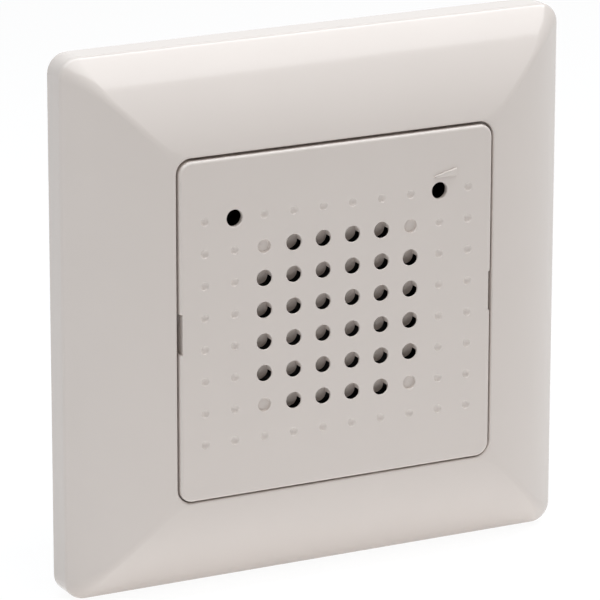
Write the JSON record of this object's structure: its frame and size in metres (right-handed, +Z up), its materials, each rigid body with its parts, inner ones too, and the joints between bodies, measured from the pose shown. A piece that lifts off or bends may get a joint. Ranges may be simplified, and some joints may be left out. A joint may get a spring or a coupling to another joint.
{
  "type": "door chime insert",
  "caption": "Flush-mounted electronic door chime: square cover frame with a bulging slope, clip-in grille plate, and a speaker insert on a steel support plate for a round wall box.",
  "frame": {"origin": "centre of the support plate's back face, on the wall plane", "axes": "+Z up, +Y into the wall, so the front faces -Y, and +X to the right seen from the front"},
  "size_m": [0.08, 0.0336, 0.08],
  "materials": {
    "frame_plastic": "glossy off-white",
    "plate_plastic": "satin gloss off-white",
    "zinc_steel": "zinc plated sheet",
    "screw_steel": "zinc plated screws",
    "carrier_plastic": "black moulded",
    "housing_plastic": "grey moulded",
    "foam": "closed-cell foam",
    "basket_steel": "plated stamping",
    "pole_steel": "plated turned steel",
    "ferrite": "sintered ferrite",
    "copper_coil": "enamelled winding",
    "cone_paper": "pressed paper",
    "surround_rubber": "soft roll",
    "tag_board": "phenolic board",
    "lead_sleeve": "insulated lead",
    "board": "solder mask",
    "trimmer_blue": "moulded",
    "spindle_plastic": "moulded",
    "switch_black": "moulded",
    "terminal_plastic": "moulded",
    "contact_brass": "stamped",
    "chip_epoxy": "moulded epoxy",
    "can_sleeve": "sleeved can",
    "resistor_lacquer": "lacquered"
  },
  "bodies": {
    "insert": {"support_plate": "zinc_steel", "carrier_screws": "screw_steel", "speaker_carrier": "carrier_plastic", "speaker_gasket": "foam", "speaker_basket": "basket_steel", "speaker_top_plate": "pole_steel", "speaker_magnet": "ferrite", "speaker_yoke": "pole_steel", "cone_surround": "surround_rubber", "speaker_tags": "tag_board", "speaker_leads": "lead_sleeve", "circuit_board": "board", "board_screws": "screw_steel", "volume_trimmer": "trimmer_blue", "melody_switch": "switch_black", "terminal_block": "terminal_plastic", "terminal_contacts": "contact_brass", "sound_chip": "chip_epoxy", "bridge_rectifier": "chip_epoxy", "capacitor": "can_sleeve", "resistors": "resistor_lacquer", "rear_housing": "housing_plastic", "housing_screws": "screw_steel"},
    "cover_frame": {"cover_frame": "frame_plastic"},
    "center_plate": {"center_plate": "plate_plastic"},
    "volume_spindle": {"volume_spindle": "spindle_plastic"},
    "melody_button": {"melody_pin": "spindle_plastic", "melody_plunger": "switch_black"},
    "speaker_cone": {"speaker_cone": "cone_paper", "voice_coil": "copper_coil", "dust_cap": "cone_paper"},
    "terminal_screw_1": {"terminal_screw_1": "screw_steel"},
    "terminal_screw_2": {"terminal_screw_2": "screw_steel"},
    "terminal_screw_3": {"terminal_screw_3": "screw_steel"},
    "wire_clamp_1": {"wire_clamp_1": "zinc_steel"},
    "wire_clamp_2": {"wire_clamp_2": "zinc_steel"},
    "wire_clamp_3": {"wire_clamp_3": "zinc_steel"}
  },
  "joints": [
    {"name": "frame_lift_off", "type": "slide", "parent": "insert", "child": "cover_frame", "axis": [0, -1, 0], "range_m": [0, 0.03]},
    {"name": "plate_pull_off", "type": "slide", "parent": "cover_frame", "child": "center_plate", "axis": [0, -1, 0], "range_m": [0, 0.025]},
    {"name": "volume_turn", "type": "hinge", "parent": "insert", "child": "volume_spindle", "pos_m": [0.01638, 0, 0.01608], "axis": [0, 1, 0], "range_deg": [-135, 135]},
    {"name": "melody_press", "type": "slide", "parent": "insert", "child": "melody_button", "axis": [0, 1, 0], "range_m": [0, 0.00025], "stiffness_N_per_m": 800},
    {"name": "cone_stroke", "type": "slide", "parent": "insert", "child": "speaker_cone", "axis": [0, -1, 0], "range_m": [-0.0004, 0.0004], "stiffness_N_per_m": 1000, "deforming": ["cone_surround"]},
    {"name": "terminal_turn_1", "type": "hinge", "parent": "insert", "child": "terminal_screw_1", "pos_m": [-0.00508, 0.0162, -0.0169], "axis": [0, -1, 0], "range_deg": [0, 1120]},
    {"name": "terminal_turn_2", "type": "hinge", "parent": "insert", "child": "terminal_screw_2", "pos_m": [0, 0.0162, -0.0169], "axis": [0, -1, 0], "range_deg": [0, 1120]},
    {"name": "terminal_turn_3", "type": "hinge", "parent": "insert", "child": "terminal_screw_3", "pos_m": [0.00508, 0.0162, -0.0169], "axis": [0, -1, 0], "range_deg": [0, 1120]},
    {"name": "clamp_rise_1", "type": "slide", "parent": "insert", "child": "wire_clamp_1", "axis": [0, 1, 0], "range_m": [0, 0.0014]},
    {"name": "clamp_rise_2", "type": "slide", "parent": "insert", "child": "wire_clamp_2", "axis": [0, 1, 0], "range_m": [0, 0.0014]},
    {"name": "clamp_rise_3", "type": "slide", "parent": "insert", "child": "wire_clamp_3", "axis": [0, 1, 0], "range_m": [0, 0.0014]}
  ],
  "couplings": [
    {"joint": "terminal_turn_1", "follows": "clamp_rise_1", "rad_per_m": 13963},
    {"joint": "terminal_turn_2", "follows": "clamp_rise_2", "rad_per_m": 13963},
    {"joint": "terminal_turn_3", "follows": "clamp_rise_3", "rad_per_m": 13963}
  ]
}
